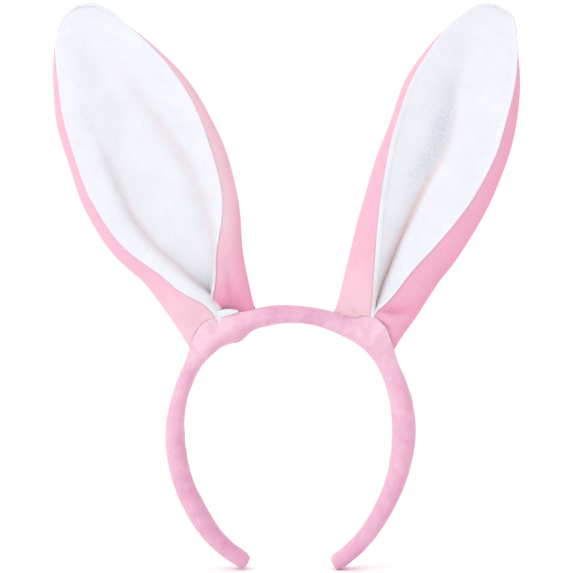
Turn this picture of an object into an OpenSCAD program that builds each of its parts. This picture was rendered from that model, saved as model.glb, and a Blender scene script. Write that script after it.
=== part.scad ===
// Animal ears headband: two tall cupped rabbit ears sewn to a padded headband with a springy core.
// Row frame, in millimetres: the origin is the centre of the crown arc, +Z is up, the front is -Y,
// and +X is to the right as the headband is seen from the front.

/* [Band] */
// Radius of the band's centreline over the top of the head
crown_r = 65; // [63:0.5:70]
// Radius of the centreline of each arm
arm_r = 84; // [78:1:100]
// Where each arm ends, in degrees from the top, round its own centre
arm_end = 150; // [140:0.5:154]
// Thickness of the padded band, from the head outwards
band_t = 10.4; // [9.4:0.1:11]
// Width of the padded band, from front to back
band_w = 15; // [14:0.5:18]
// Radius of the padded band's rounded edges
edge_r = 4.5; // [3.6:0.1:4.6]
// Thickness of the plush fabric sleeve
cover_t = 1.2; // [0.8:0.1:1.4]
// Thickness of the springy plastic core
core_t = 2.4; // [1.6:0.1:3]
// Width of the springy plastic core
core_w = 9; // [7:0.5:9.5]
// Radius of the sewing thread in the sleeve's closing seam
thread_r = 0.4; // [0.3:0.05:0.45]

/* [Arm flex] */
// Place of each arm's flex line, in degrees from the top of the crown
flex_at = 66; // [64:0.5:72]
// Gap that the flex line leaves between the crown and the arm
flex_gap = 1.6; // [1.6:0.1:2.4]

/* [Ears] */
// Length of an ear, from the top of the band to the tip
ear_len = 201; // [170:1:215]
// Place of the left ear on the crown, in degrees from the top
left_at = -33.6; // [-36:0.2:-30]
// Outward tilt of the left ear, in degrees
left_tilt = -23.1; // [-28:0.1:-18]
// Place of the right ear on the crown, in degrees from the top
right_at = 38.1; // [30:0.1:39]
// Outward tilt of the right ear, in degrees
right_tilt = 20.6; // [16:0.1:26]
// Thickness of the pink outer panel
panel_t = 0.9; // [0.6:0.1:1]
// Thickness of the stiff interlining
interlining_t = 1.1; // [0.8:0.1:1.2]
// Thickness of the white lining
lining_t = 0.9; // [0.6:0.1:1]
// Diameter of the wire in the ear's rim
wire_d = 1; // [0.6:0.1:1]

/* [Hidden] */
$fn = 96;

pink = [0.95, 0.68, 0.78];
plush = [0.93, 0.71, 0.82];
white = [0.97, 0.97, 0.99];
foam_grey = [0.86, 0.86, 0.84];
core_grey = [0.55, 0.56, 0.58];
steel = [0.7, 0.71, 0.73];
thread = [0.9, 0.62, 0.72];

// A small gap between layers that lie on each other
slip = 0.05;
foam_inset = cover_t + slip;
seam_groove_r = thread_r + slip;

// The sleeve's closing seam runs along the rear inner edge, at 45 degrees round the rounded edge.
seam_in = band_t / 2 - edge_r + edge_r * cos(45);
seam_back = band_w / 2 - edge_r + edge_r * sin(45);

// Angles that half of the flex gap takes on the crown and on the arm, and where the arm starts
half_gap = flex_gap / 2 / crown_r * 180 / PI;
arm_top = flex_at + flex_gap / 2 / arm_r * 180 / PI;

// The arm's end is cut round by a circle a little wider than the band, set back from its end.
end_r = 5.6;
end_back = 5.4;
end_over = 2;
core_end = arm_end - 8;
seam_end = arm_end - 7;
end_thread_l = 8;

// A hollow runs past its open end by this many degrees.
over_end = 1;

// ---- Band ----

// A rounded rectangle made of squares and circles, t across and w high.
module rounded(t, w, r) {
    square([t, w - 2 * r], center = true);
    square([t - 2 * r, w], center = true);
    for (x = [-1, 1], y = [-1, 1])
        translate([x * (t / 2 - r), y * (w / 2 - r)]) circle(r = r);
}

// The band's section, shrunk by inset all round.
module band_section(inset) {
    rounded(band_t - 2 * inset, band_w - 2 * inset, edge_r - inset);
}

module core_section() {
    rounded(core_t, core_w, core_t / 2 - 0.1);
}

// Turns a profile drawn in (radius, height) about +Z into one about the row's Y axis,
// with angles counted from the top towards +X.
module about_y(from, to) {
    rotate([90, 0, 0]) rotate([0, 0, 90 - to]) rotate_extrude(angle = to - from) children();
}

// The children's section, carried along the crown between its two flex lines, and past them by over.
module crown_run(over = 0) {
    edge = flex_at - half_gap + over;
    about_y(-edge, edge) translate([crown_r, 0]) children();
}

// Moves the children to the centre of the right arm's arc, where it leaves the crown smoothly.
module at_arm_centre() {
    translate((crown_r - arm_r) * [sin(flex_at), 0, cos(flex_at)]) children();
}

// The children's section, carried along the right arm.
module arm_run(from, to) {
    at_arm_centre() about_y(from, to) translate([arm_r, 0]) children();
}

// Moves the children to the right arm's end, with +Z along the arm and +X outwards.
module at_arm_end() {
    at_arm_centre() translate(arm_r * [sin(arm_end), 0, cos(arm_end)])
        rotate([0, arm_end + 90, 0]) rotate([0, 0, 180]) children();
}

// A solid arm whose end is rounded as it is seen from the front. It starts at an angle from the top.
module arm_solid(inset, from) {
    difference() {
        arm_run(from, arm_end) band_section(inset);
        at_arm_end() difference() {
            translate([0, 0, -end_back / 2])
                cube([2 * band_t, 2 * band_w, end_back + 2 * end_over], center = true);
            translate([0, 0, -end_back]) rotate([90, 0, 0])
                cylinder(r = end_r - inset, h = 3 * band_w, center = true);
            translate([0, 0, -end_back - band_t])
                cube([3 * band_t, 3 * band_w, 2 * band_t], center = true);
        }
    }
}

module crown_solid(inset) {
    crown_run() band_section(inset);
}

// A place in the band's section for the sleeve's seam
module seam_line(r) {
    translate([-seam_in, -seam_back]) circle(r = r);
}

module crown_core() {
    color(core_grey) crown_run() core_section();
}

module core_slot() {
    rounded(core_t + 2 * slip, core_w + 2 * slip, core_t / 2);
}

module crown_foam() {
    color(foam_grey) difference() {
        crown_solid(foam_inset);
        crown_run(over_end) core_slot();
    }
}

module crown_cover() {
    color(plush) difference() {
        crown_solid(0);
        crown_run(over_end) band_section(cover_t);
        crown_run(over_end) seam_line(seam_groove_r);
    }
}

module crown_cover_seam() {
    color(thread) crown_run() seam_line(thread_r);
}

module arm_core() {
    color(core_grey) arm_run(arm_top, core_end) core_section();
}

module arm_foam() {
    color(foam_grey) difference() {
        arm_solid(foam_inset, arm_top);
        arm_run(arm_top - over_end, core_end + 0.1) core_slot();
    }
}

// The sleeve is closed round the arm's end, and open only at the flex line.
module arm_cover() {
    color(plush) difference() {
        arm_solid(0, arm_top);
        arm_solid(cover_t, arm_top - over_end);
        arm_run(arm_top - over_end, seam_end) seam_line(seam_groove_r);
        end_thread(seam_groove_r, end_thread_l + 2 * slip);
    }
}

module arm_cover_seam() {
    color(thread) arm_run(arm_top, seam_end) seam_line(thread_r);
}

// The stitch that gathers the sleeve shut, across the tip from front to back
module end_thread(r, l) {
    at_arm_end() translate([0, 0, end_r - end_back]) rotate([90, 0, 0])
        cylinder(r = r, h = l, center = true);
}

module arm_end_stitch() {
    color(thread) end_thread(thread_r, end_thread_l);
}

// ---- Ears ----
// An ear is a tall trough, open to the front. Its section is an ellipse that stops at two rims.
// Stations go up the ear at even steps of an angle, from 0 at the band to 90 degrees at the tip,
// and a station's height is ear_len times the sine of its angle, so the outline ends in a round tip.
// Each list holds one value a station: how far the outline and the rims lie from the ear's axis.
station_step = 9;
ear_depth = [11, 12.5, 14, 15, 14.5, 12.5, 10.5, 8.5, 6.5, 5, 4.5];

left_edge_l = [-24.5, -31.5, -43.5, -47.5, -46.5, -43.5, -37, -30, -23, -15, -6];
left_edge_r = [22.5, 28, 36.5, 41, 40, 35, 26.5, 18, 10.5, 3, -6];
left_rim_l = [-1, -17, -35, -41, -41, -38, -33, -28, -23, -15, -6];
left_rim_r = [1, 10, 27, 33, 34.5, 31, 24.5, 17.5, 10.5, 3, -6];

right_edge_l = [-21.5, -24.5, -27, -28.5, -29, -29, -24, -17.5, -10, -4, 5];
right_edge_r = [21, 29, 37, 42, 43, 40, 34.5, 27.5, 21, 15.5, 5];
right_rim_l = [-1, -7, -16, -22, -25.5, -25.5, -22, -17, -10, -4, 5];
right_rim_r = [1, 10, 22, 31, 34.5, 33, 30.5, 26.5, 21, 15.5, 5];

// [angle on the crown, tilt, left outline, right outline, left rim, right rim]
left_ear = [left_at, left_tilt, left_edge_l, left_edge_r, left_rim_l, left_rim_r];
right_ear = [right_at, right_tilt, right_edge_l, right_edge_r, right_rim_l, right_rim_r];

// The ear's outer side has this many strips across and up; the last row stops short of a sharp point.
cols = 16;
rows = 14;
last_station = 9.55;

// The ear's base keeps this far from the band's centreline, so that it can lean without touching,
// and its front and back walls come this close to the centreline's height beside the band.
saddle_r = 9.8;
saddle_low = 4.6;
saddle_fade = 40;

// Insets of each layer's two faces from the ear's outer side
interlining_in = panel_t + 2 * slip;
lining_in = interlining_in + interlining_t + 2 * slip;
middle_in = interlining_in + interlining_t / 2;

// Smooth curve through a list of values at whole steps of x
function smooth(list, x) = let (
        last = len(list) - 1,
        i = min(last - 1, floor(x)),
        f = x - i,
        a = list[max(0, i - 1)], b = list[i], c = list[i + 1], d = list[min(last, i + 2)]
    ) b + 0.5 * f * ((c - a) + f * ((2 * a - 5 * b + 4 * c - d) + f * (3 * b - a - 3 * c + d)));

// How far the section goes round, in degrees from the back, to bring a rim to its place
function wrap(half_w, rim) = 180 - asin(min(1, rim / half_w));

function ear_root(ear) = (crown_r + band_t / 2 + 0.8) * [sin(ear[0]), cos(ear[0])];

// Height at which the ear starts, so that it stays outside the saddle round the band
function base_height(ear, u, y) = let (
        side = [cos(ear[1]), -sin(ear[1])],
        up = [sin(ear[1]), cos(ear[1])],
        start = ear_root(ear) + u * side,
        along = start * up,
        r = crown_r + sqrt(max(saddle_low ^ 2, saddle_r ^ 2 - y ^ 2))
    ) sqrt(along ^ 2 - start * start + r ^ 2) - along;

// A point in an ear: across is -1 at the left rim and 1 at the right, inset is from the outer side
function ear_point(ear, row, across, inset) = let (
        s = row * last_station / rows,
        left = smooth(ear[2], s),
        right = smooth(ear[3], s),
        half_w = (right - left) / 2,
        mid = (right + left) / 2,
        turn = across * (across < 0
            ? wrap(half_w, mid - smooth(ear[4], s)) : wrap(half_w, smooth(ear[5], s) - mid)),
        u = mid + (half_w - inset) * sin(turn),
        y = (smooth(ear_depth, s) - inset) * cos(turn),
        nominal = ear_len * sin(s * station_step),
        v = nominal + base_height(ear, u, y) * max(0, 1 - nominal / saddle_fade),
        root = ear_root(ear)
    ) [
        root[0] + u * cos(ear[1]) + v * sin(ear[1]),
        y,
        root[1] - u * sin(ear[1]) + v * cos(ear[1])
    ];

function across_at(col) = 2 * col / cols - 1;

// Closed sheet between two insets, from one column and up to one row
module ear_sheet(ear, near, far, first_col, last_row) {
    n = cols - 2 * first_col;
    points = [
        for (inset = [near, far], j = [0:last_row], k = [0:n])
            ear_point(ear, j, across_at(first_col + k), inset)
    ];
    side = (last_row + 1) * (n + 1);
    function at(j, k) = j * (n + 1) + k;
    skin = [
        for (j = [0:last_row - 1], k = [0:n - 1]) each [
            [at(j, k), at(j, k + 1), at(j + 1, k + 1)],
            [at(j, k), at(j + 1, k + 1), at(j + 1, k)]
        ]
    ];
    edge = [
        for (k = [0:n - 1]) [at(0, k), at(0, k + 1)],
        for (j = [0:last_row - 1]) [at(j, n), at(j + 1, n)],
        for (k = [n:-1:1]) [at(last_row, k), at(last_row, k - 1)],
        for (j = [last_row:-1:1]) [at(j, 0), at(j - 1, 0)]
    ];
    polyhedron(points, [
        for (f = skin) f,
        for (f = skin) [f[2] + side, f[1] + side, f[0] + side],
        for (e = edge) each [[e[1], e[0], e[0] + side], [e[1], e[0] + side, e[1] + side]]
    ]);
}

function unit(p) = p / norm(p);

// Round thread or wire of radius r, swept along a path that lies close to one upright plane
module strand(path, r, sides = 8) {
    last = len(path) - 1;
    points = [
        for (i = [0:last]) let (
            along = unit(path[min(last, i + 1)] - path[max(0, i - 1)]),
            out = unit(cross(along, [0, 1, 0])),
            over = cross(along, out)
        ) for (k = [0:sides - 1])
            path[i] + r * (cos(360 * k / sides) * out + sin(360 * k / sides) * over)
    ];
    polyhedron(points, [
        [for (k = [0:sides - 1]) k],
        for (i = [0:last - 1], k = [0:sides - 1]) let (m = (k + 1) % sides) each [
            [i * sides + k, (i + 1) * sides + m, i * sides + m],
            [i * sides + k, (i + 1) * sides + k, (i + 1) * sides + m]
        ],
        [for (k = [sides - 1:-1:0]) last * sides + k]
    ]);
}

// A point in the middle of the layers, part of the way from one column to the next
function channel_point(ear, row, col, part) =
    (1 - part) * ear_point(ear, row, across_at(col), middle_in)
    + part * ear_point(ear, row, across_at(col + 1), middle_in);

// The wire lies between the fabric layers, in the channel outside the interlining's edge.
function wire_path(ear) = [
    for (j = [0:stiff_rows]) channel_point(ear, j, 0, wire_part),
    for (k = [1:cols - 1]) channel_point(ear, stiff_rows + 1, k, 0),
    for (j = [stiff_rows:-1:0]) channel_point(ear, j, cols - 1, 1 - wire_part)
];

// The seam runs up one rim, over the tip and down the other.
function rim_path(ear) = [
    for (j = [0:rows - 1]) ear_point(ear, j, -1, middle_in),
    for (k = [0:2:cols]) ear_point(ear, rows, across_at(k), middle_in),
    for (j = [rows - 1:-1:0]) ear_point(ear, j, 1, middle_in)
];

// The interlining stops this many rows up, and the wire lies this far across the column beside it.
stiff_rows = rows - 3;
wire_part = 0.6;

rim_seam_r = 0.45;
tack_r = 0.4;
tack_l = 3;
tack_row = 0.75;

module ear_outer_panel(ear) {
    color(pink) ear_sheet(ear, 0, panel_t, 0, rows);
}

module ear_interlining(ear) {
    color(foam_grey) ear_sheet(ear, interlining_in, interlining_in + interlining_t, 1, stiff_rows);
}

module ear_lining(ear) {
    color(white) ear_sheet(ear, lining_in, lining_in + lining_t, 0, rows);
}

module ear_rim_wire(ear) {
    color(steel) strand(wire_path(ear), wire_d / 2);
}

module ear_rim_seam(ear) {
    color(thread) strand(rim_path(ear), rim_seam_r, 6);
}

// Tack stitches that hold the gathered base, through the outer panel at the front and the back
module ear_tack_stitches(ear) {
    color(thread) for (col = [1.5:1:cols - 1.5])
        translate(ear_point(ear, tack_row, across_at(col), 0)) rotate([0, ear[1], 0])
            cylinder(r = tack_r, h = tack_l, center = true);
}

crown_core();
mirror([1, 0, 0]) arm_core();  // left_arm_core
arm_core();  // right_arm_core
crown_foam();
mirror([1, 0, 0]) arm_foam();  // left_arm_foam
arm_foam();  // right_arm_foam
crown_cover();
mirror([1, 0, 0]) arm_cover();  // left_arm_cover
arm_cover();  // right_arm_cover
crown_cover_seam();
mirror([1, 0, 0]) arm_cover_seam();  // left_arm_cover_seam
arm_cover_seam();  // right_arm_cover_seam
mirror([1, 0, 0]) arm_end_stitch();  // left_arm_end_stitch
arm_end_stitch();  // right_arm_end_stitch
ear_outer_panel(left_ear);  // left_ear_outer_panel
ear_interlining(left_ear);  // left_ear_interlining
ear_lining(left_ear);  // left_ear_lining
ear_rim_wire(left_ear);  // left_ear_rim_wire
ear_rim_seam(left_ear);  // left_ear_rim_seam
ear_tack_stitches(left_ear);  // left_ear_tack_stitches
ear_outer_panel(right_ear);  // right_ear_outer_panel
ear_interlining(right_ear);  // right_ear_interlining
ear_lining(right_ear);  // right_ear_lining
ear_rim_wire(right_ear);  // right_ear_rim_wire
ear_rim_seam(right_ear);  // right_ear_rim_seam
ear_tack_stitches(right_ear);  // right_ear_tack_stitches
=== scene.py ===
"""Animal ears headband: the looks of the padded band and of its two cupped ears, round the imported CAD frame.

Lengths are in millimetres until a mesh is made. +Z is up, the front is -Y, and +X is to the right as seen
from the front.
"""

import math

import bpy
import numpy as np
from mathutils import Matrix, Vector


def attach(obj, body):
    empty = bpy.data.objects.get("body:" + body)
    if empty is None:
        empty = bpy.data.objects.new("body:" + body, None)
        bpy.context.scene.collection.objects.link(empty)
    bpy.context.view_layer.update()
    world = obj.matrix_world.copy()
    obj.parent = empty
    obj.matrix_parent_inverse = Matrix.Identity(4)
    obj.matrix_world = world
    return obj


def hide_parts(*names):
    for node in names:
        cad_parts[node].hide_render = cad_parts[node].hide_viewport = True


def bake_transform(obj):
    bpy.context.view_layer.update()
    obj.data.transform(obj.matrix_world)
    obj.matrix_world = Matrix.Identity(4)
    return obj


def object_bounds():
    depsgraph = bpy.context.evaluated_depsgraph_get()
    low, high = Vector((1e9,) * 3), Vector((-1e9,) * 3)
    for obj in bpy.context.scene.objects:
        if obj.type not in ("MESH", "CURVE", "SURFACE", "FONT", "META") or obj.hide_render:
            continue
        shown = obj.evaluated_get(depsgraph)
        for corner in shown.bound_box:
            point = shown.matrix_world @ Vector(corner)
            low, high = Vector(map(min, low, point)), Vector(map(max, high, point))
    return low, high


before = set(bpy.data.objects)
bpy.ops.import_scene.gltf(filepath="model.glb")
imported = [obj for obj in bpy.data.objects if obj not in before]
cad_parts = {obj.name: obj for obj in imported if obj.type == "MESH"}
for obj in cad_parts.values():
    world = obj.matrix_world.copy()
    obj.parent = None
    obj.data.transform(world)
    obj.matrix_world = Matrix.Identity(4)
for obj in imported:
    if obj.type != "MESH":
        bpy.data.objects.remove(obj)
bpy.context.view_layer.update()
MM = 0.001

# ---- Measures that the CAD part has too ----
CROWN_R = 65.0
ARM_R = 84.0
FLEX_AT = 66.0
ARM_END = 150.0
CORE_END = 142.0
EAR_LEN = 201.0
EAR_ROOT_R = 71.0
STATION_STEP = 9.0
PANEL_T = 0.9
INTERLINING_T = 1.1
LINING_T = 0.9
SLIP = 0.05
STACK_T = PANEL_T + INTERLINING_T + LINING_T + 3 * SLIP
LAST_STATION = 9.97
EAR_DEPTH = [11, 12.5, 14, 15, 14.5, 12.5, 10.5, 8.5, 6.5, 5, 4.5]

# Each list has a value a station, as in the CAD part: how far outline and rims lie from the ear's axis.
# lap: how far the foot's right side lies behind. slit, lift: how far the rims close above the foot.
# steep, fill: the lining's banks and floor. lining_from: the station that the lining starts after.
# areas: outer cloth, interlining and lining, in square metres.
EARS = {
    "left": {
        "at": -33.6,
        "tilt": -23.1,
        "edge_l": [-22.6, -29.9, -43.5, -47.5, -46.5, -43.5, -37, -30, -23, -15, -6],
        "edge_r": [20.8, 26.8, 36.5, 41, 40, 35, 26.5, 18, 10.5, 3, -6],
        "rim_l": [-1, -17, -35, -41, -41, -38, -33, -28, -23, -15, -6],
        "rim_r": [1, 10, 27, 33, 34.5, 31, 24.5, 17.5, 10.5, 3, -6],
        # the lining's roll beside the left rim, its width and how far it dives
        "roll_w": [3.4, 9, 13, 15, 15.5, 12, 9, 6, 4, 2, 0.6],
        "roll_dive": [1.5, 2.8, 3.4, 3, 2, 1, 0.4, 0.1, 0, 0, 0],
        "steep_l": [7, 6, 5, 4, 3, 2.4, 2, 2, 2, 2, 2],
        "steep_r": [2.2, 2.2, 2.2, 2.4, 2.4, 2.2, 2, 2, 2, 2, 2],
        "fill": [0, 0, 0.05, 0.1, 0.1, 0.05, 0, 0, 0, 0, 0],
        "lap": 2.6,
        "slit": 4.6,
        "lift": 2.6,
        "lining_from": -1,
        "areas": [0.0210, 0.0170, 0.0133],
    },
    "right": {
        "at": 38.1,
        "tilt": 20.6,
        "edge_l": [-19.6, -23.2, -27, -28.5, -29, -29, -24, -17.5, -10, -4, 5],
        "edge_r": [19.3, 28, 37, 42, 43, 40, 34.5, 27.5, 21, 15.5, 5],
        "rim_l": [2, -7, -16, -22, -25.5, -25.5, -22, -17, -10, -4, 5],
        "rim_r": [3.2, 10, 22, 31, 34.5, 33, 30.5, 26.5, 21, 15.5, 5],
        "roll_w": [0.8, 2, 2.5, 2.5, 2.5, 2.5, 2.5, 2, 1.5, 1, 0.6],
        "roll_dive": [0.6, 0.8, 0.8, 0.8, 0.6, 0.4, 0.3, 0.1, 0, 0, 0],
        "steep_l": [0.8, 0.8, 0.8, 0.9, 1.1, 1.4, 2, 2, 2, 2, 2],
        "steep_r": [0.5, 0.45, 0.45, 0.5, 0.8, 1.3, 2, 2, 2, 2, 2],
        "fill": [-0.2, -0.3, -0.35, -0.3, -0.1, 0, 0, 0, 0, 0, 0],
        "lap": 0.0,
        "slit": 2.8,
        "lift": 0.0,
        "lining_from": 0.26,
        "areas": [0.0197, 0.0156, 0.0114],
    },
}

# ---- Measures of the soft pieces only ----
# Padding out from the crown's and the arms' centreline, and in from it, every 15 degrees from -150 to 150
BAND_OUT = [4.6, 5.3, 5.3, 5.2, 5.5, 5.3, 5.5, 5.5, 5.2, 4.7, 4.0]
BAND_OUT += [4.2, 4.9, 5.7, 6.9, 6.8, 6.2, 4.5, 4.0, 4.8, 5.4]
BAND_IN = [4.6, 5.0, 6.7, 6.6, 5.6, 4.2, 3.7, 4.8, 6.2, 6.6, 6.4]
BAND_IN += [6.2, 5.8, 4.2, 4.5, 6.2, 7.5, 7.4, 6.7, 4.8, 3.4]
BAND_STEP = 15.0
BAND_HALF_W = 7.6
CORE_HALF_T = 1.35
CORE_HALF_W = 4.65
# Folds are laid out on the band's front with this many millimetres a degree along it
ALONG = 1.25
SECTION_POWER = 2.55
COVER_T = 1.2
RING = 72
PAD_RING = 48
RING_STEP = 0.75
SLEEVE_ROUND = 42.0
TIP_BACK = 5.6
TIP_POWER = 2.8
# The sleeve's front edge laps up over each ear's foot: middle, reach to the left, reach to the right, height
LAPS = [[-41, 13, 16, 8.4], [39, 7, 15, 11.2]]
LAP_TURN = -1.02
LAP_SPREAD = 0.42
# The ears' feet along the band: middle, half their length in degrees, how far the cloth over them bulges
FEET = [[-34.3, 18.1, 5.9], [38, 16.4, 6.2]]
SEAM_TURNS = [2.32, 2.12]
# Radii of the threads and of the wire
RADIUS = {"seam": 0.26, "tip": 0.28, "rim": 0.16, "tack": 0.3, "wire": 0.5}
# Across the lining from rim to rim, 0 to 1: the left rim's roll ends and the right rim's hem begins
ROLL_END = 0.24
HEM_FROM = 0.95
INTERLINING_REACH = 0.86
INTERLINING_LAST = 7.4
WIRE_REACH = 0.93
WIRE_LAST = 8.3
# In metres: the width that the camera sees at the object, and the place that it looks at, X and Z
SEEN_WIDTH = 0.3323
LOOK_AT = (-0.0020, 0.0797)

# Folds and gathers as height, start, end, width; those of the sleeve's colour are painted shade along its
# gathers and painted highlight beside them, and tell how much darker it is
BAND_FOLDS = [
    (-2.2, (-50, -8.4), (-41.5, -6.0), 1.1),
    (0.9, (-54, -8.6), (-45, -6.2), 2.4),
    (-1.2, (46, -6.5), (54, -9.5), 1.2),
    (-0.9, (38, -8.5), (47, -7.0), 1.2),
]
SLEEVE_FOLD_PAINTED_SHADE = [
    (0.6, (-50.5, 4), (-42, 9), 1.1),
    (-0.4, (-47.5, 4), (-39, 9), 1.6),
    (0.35, (44, 6), (53, 2), 1.2),
    (-0.25, (46, 8), (55, 4), 1.6),
]
EAR_FOLDS = {
    "left": [
        (-1.6, (17, 30), (11, 5), 2.6),
        (0.9, (12, 26), (7, 10), 2.6),
        (-1.2, (-8, 9), (-18, 3), 2.0),
        (0.9, (-22, 16), (-12, 14), 3.0),
    ],
    "right": [
        (-2.6, (3, 12), (19, 16), 1.2),
        (1.5, (3, 15.5), (20, 20), 2.4),
        (-1.6, (5, 7.5), (15, 3.5), 1.2),
        (0.8, (8, 9), (17, 8), 2.0),
        (-1.3, (-12, 9), (-8.5, 4.5), 1.2),
        (-1.4, (-21, 38), (-16.5, 24), 2.0),
    ],
}

# The deep tones are the darker ends of the sleeve's random nap streaks and painted shade, and of the pink
# panels' painted shade
TONES = {
    "band": (0.86, 0.61, 0.72),
    "band_deep": (0.70, 0.33, 0.49),
    "ear_pink": (0.82, 0.60, 0.67),
    "ear_deep": (0.79, 0.22, 0.43),
    "ear_white": (0.765, 0.775, 0.815),
    "thread": (0.80, 0.42, 0.56),
    "thread_white": (0.86, 0.86, 0.88),
    "foam": (0.80, 0.79, 0.72),
    "interlining": (0.78, 0.77, 0.74),
}


def catmull(values, x):
    """Smooth curve through values at whole steps of x, the CAD part's own interpolation."""
    values = np.asarray(values, float)
    x = np.asarray(x, float)
    last = len(values) - 1
    i = np.clip(np.floor(x).astype(int), 0, last - 1)
    f = x - i
    a = values[np.clip(i - 1, 0, last)]
    b = values[i]
    c = values[i + 1]
    d = values[np.clip(i + 2, 0, last)]
    return b + 0.5 * f * ((c - a) + f * ((2 * a - 5 * b + 4 * c - d) + f * (3 * b - a - 3 * c + d)))


def bell(x, width):
    return np.exp(-((x / width) ** 2))


def unit(vectors):
    return vectors / np.maximum(np.linalg.norm(vectors, axis=-1, keepdims=True), 1e-9)


def spread(rows, cols):
    """The values of a grid's rows and of its columns at each of its points."""
    return rows[:, None] * np.ones_like(cols)[None], cols[None] * np.ones((len(rows), 1))


def smooth(low, high, x):
    t = np.clip((np.asarray(x, float) - low) / (high - low), 0, 1)
    return t * t * (3 - 2 * t)


def ripple(x, y, seed, size):
    """Smooth repeatable unevenness between about -1 and 1, with features about size long."""
    total = 0
    for k in range(5):
        angle = seed * 1.7 + k * 2.39
        wave = 2 * math.pi / (size * (0.7 + 0.23 * k))
        total = total + np.sin(wave * (x * math.cos(angle) + y * math.sin(angle)) + seed * 5.3 + k * 1.9)
    return total / 3


def segment_fold(u, v, start, end, width):
    """A bell-shaped ridge along a line from start to end, as high as 1 in its middle."""
    ax, ay = start
    dx = end[0] - ax
    dy = end[1] - ay
    long2 = dx * dx + dy * dy
    t = np.clip(((u - ax) * dx + (v - ay) * dy) / long2, 0, 1)
    gap2 = (u - ax - t * dx) ** 2 + (v - ay - t * dy) ** 2
    return np.exp(-gap2 / width**2) * (0.35 + 0.65 * np.sin(math.pi * np.clip(t, 0.02, 0.98)))


def fold_sum(u, v, folds):
    total = 0
    for tall, start, end, width in folds:
        total = total + tall * segment_fold(u, v, start, end, width)
    return total


# ---- Meshes ----


def new_object(name, data):
    obj = bpy.data.objects.new(name, data)
    bpy.context.scene.collection.objects.link(obj)
    return obj


def make_object(name, points, faces):
    mesh = bpy.data.meshes.new(name)
    mesh.from_pydata((np.asarray(points) * MM).tolist(), [], faces)
    mesh.update()
    mesh.validate()
    for polygon in mesh.polygons:
        polygon.use_smooth = True
    obj = new_object(name, mesh)
    return obj


def set_uv(obj, uv):
    """A map in millimetres along the cloth, so that its nap has one size and one direction."""
    layer = obj.data.uv_layers.new(name="cloth")
    loops = np.zeros(len(obj.data.loops), int)
    obj.data.loops.foreach_get("vertex_index", loops)
    layer.data.foreach_set("uv", np.asarray(uv, float)[loops].ravel())


def set_value(obj, name, values):
    attribute = obj.data.attributes.new(name, "FLOAT", "POINT")
    attribute.data.foreach_set("value", np.asarray(values, np.float32).ravel())


def grid_faces(rows, cols, offset=0, flip=False):
    faces = []
    for j in range(rows - 1):
        for k in range(cols - 1):
            a = offset + j * cols + k
            quad = (a, a + 1, a + cols + 1, a + cols)
            faces.append(quad[::-1] if flip else quad)
    return faces


def border(rows, cols):
    """Indices round a grid's edge, in order."""
    ring = list(range(cols))
    ring += [j * cols + cols - 1 for j in range(1, rows)]
    ring += [(rows - 1) * cols + k for k in range(cols - 2, -1, -1)]
    ring += [j * cols for j in range(rows - 2, 0, -1)]
    return ring


def cloth_solid(name, face, back, uv, flip=False):
    """A closed sheet between two grids of points, with a rounded edge."""
    rows, cols = face.shape[:2]
    count = rows * cols
    ring = border(rows, cols)
    front = face.reshape(-1, 3)
    rear = back.reshape(-1, 3)
    mid = (front[ring] + rear[ring]) / 2
    tangent = np.roll(mid, -1, axis=0) - np.roll(mid, 1, axis=0)
    through = rear[ring] - front[ring]
    out = unit(np.cross(tangent, through))
    near = front[ring] - neighbours(face, ring)
    sign = np.sign(np.sum(out * near, axis=1, keepdims=True))
    thick = np.linalg.norm(through, axis=1, keepdims=True)
    mid = mid + out * sign * thick * 0.3
    points = np.vstack([front, rear, mid])
    faces = grid_faces(rows, cols, 0, flip) + grid_faces(rows, cols, count, not flip)
    n = len(ring)
    for i in range(n):
        m = (i + 1) % n
        a = (ring[i], ring[m], 2 * count + m, 2 * count + i)
        b = (2 * count + i, 2 * count + m, count + ring[m], count + ring[i])
        faces.append(a if flip else a[::-1])
        faces.append(b if flip else b[::-1])
    obj = make_object(name, points, faces)
    flat_uv = uv.reshape(-1, 2)
    set_uv(obj, np.vstack([flat_uv, flat_uv, flat_uv[ring]]))
    return obj


def neighbours(grid, ring):
    """The grid's points one step in from its edge."""
    rows, cols = grid.shape[:2]
    j = np.array(ring) // cols
    k = np.array(ring) % cols
    return grid[np.clip(j, 1, rows - 2), np.clip(k, 1, cols - 2)]


def ring_faces(n, rings, start, flip):
    """Faces between rings of n points, the first point being number start."""
    faces = []
    for j in range(rings - 1):
        for k in range(n):
            m = (k + 1) % n
            a = start + j * n
            quad = (a + k, a + m, a + n + m, a + n + k)
            faces.append(quad[::-1] if flip else quad)
    return faces


def ring_uv(rings, n):
    """Millimetres along and round the band for each point of its rings."""
    along = np.arange(rings)[:, None] * RING_STEP * np.ones((1, n))
    around = np.ones((rings, 1)) * np.abs(np.arange(n) - n / 2)[None] * (SLEEVE_ROUND / n)
    return np.stack([around, along], axis=-1).reshape(-1, 2)


def tube_solid(name, outer, inner):
    """A hollow closed at its last ring and open at its first, between two lists of rings."""
    n = outer.shape[1]
    rings_out = outer.shape[0]
    rings_in = inner.shape[0]
    base = rings_out * n
    faces = ring_faces(n, rings_out, 0, False) + ring_faces(n, rings_in, base, True)
    cut_from = len(faces)
    for k in range(n):
        m = (k + 1) % n
        faces.append((base + k, base + m, m, k))
    tips = [outer[-1].mean(axis=0), inner[-1].mean(axis=0)]
    points = np.vstack([outer.reshape(-1, 3), inner.reshape(-1, 3), tips])
    top = len(points) - 2
    last_out = base - n
    last_in = base + (rings_in - 1) * n
    for k in range(n):
        m = (k + 1) % n
        faces.append((last_out + k, last_out + m, top))
        faces.append((last_in + m, last_in + k, top + 1))
    obj = make_object(name, points, faces)
    for polygon in obj.data.polygons[cut_from : cut_from + n]:
        polygon.use_smooth = False
    end = np.array([[0, rings_out * RING_STEP], [0, rings_in * RING_STEP]])
    set_uv(obj, np.vstack([ring_uv(rings_out, n), ring_uv(rings_in, n), end]))
    return obj


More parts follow.
